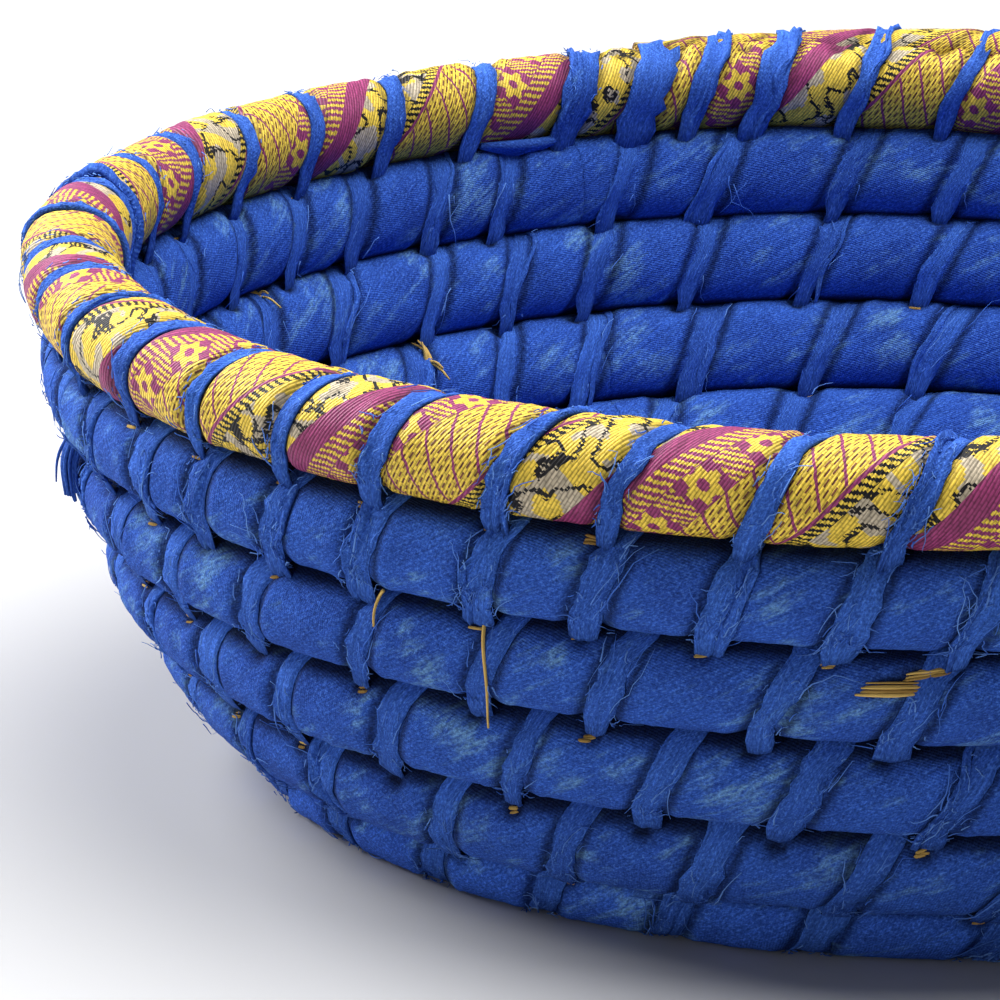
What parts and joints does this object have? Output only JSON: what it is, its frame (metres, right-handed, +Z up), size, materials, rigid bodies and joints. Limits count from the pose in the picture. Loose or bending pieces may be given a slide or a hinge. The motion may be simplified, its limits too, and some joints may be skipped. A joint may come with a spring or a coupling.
{
  "type": "coiled fabric basket",
  "caption": "Round open bowl basket of a grass bundle coiled in a spiral, wrapped in blue cloth, with a brocade-wrapped rim and cloth strips sewing the rounds together.",
  "frame": {"origin": "middle of the flat underside, on the surface that the basket stands on", "axes": "+Z up through the open top; -Y faces the viewer of the picture; +X to the viewer's right"},
  "size_m": [0.2437, 0.246, 0.0782],
  "materials": {
    "dried_grass": "matte dried grass stalks",
    "blue_cloth": "worn plain-weave cotton",
    "stitch_cloth": "folded cotton strip with frayed edges",
    "brocade_ribbon": "gold and maroon woven brocade"
  },
  "bodies": {
    "root": {"grass_core": "dried_grass", "rim_ribbon": "brocade_ribbon", "rim_stitches": "stitch_cloth", "base_wrap_1": "blue_cloth", "base_wrap_2": "blue_cloth", "wall_wrap_1": "blue_cloth", "wall_wrap_2": "blue_cloth", "wall_wrap_3": "blue_cloth", "wall_wrap_4": "blue_cloth", "wall_wrap_5": "blue_cloth", "wall_stitches_2": "stitch_cloth", "wall_stitches_3": "stitch_cloth", "wall_stitches_4": "stitch_cloth", "wall_stitches_5": "stitch_cloth"}
  },
  "joints": []
}
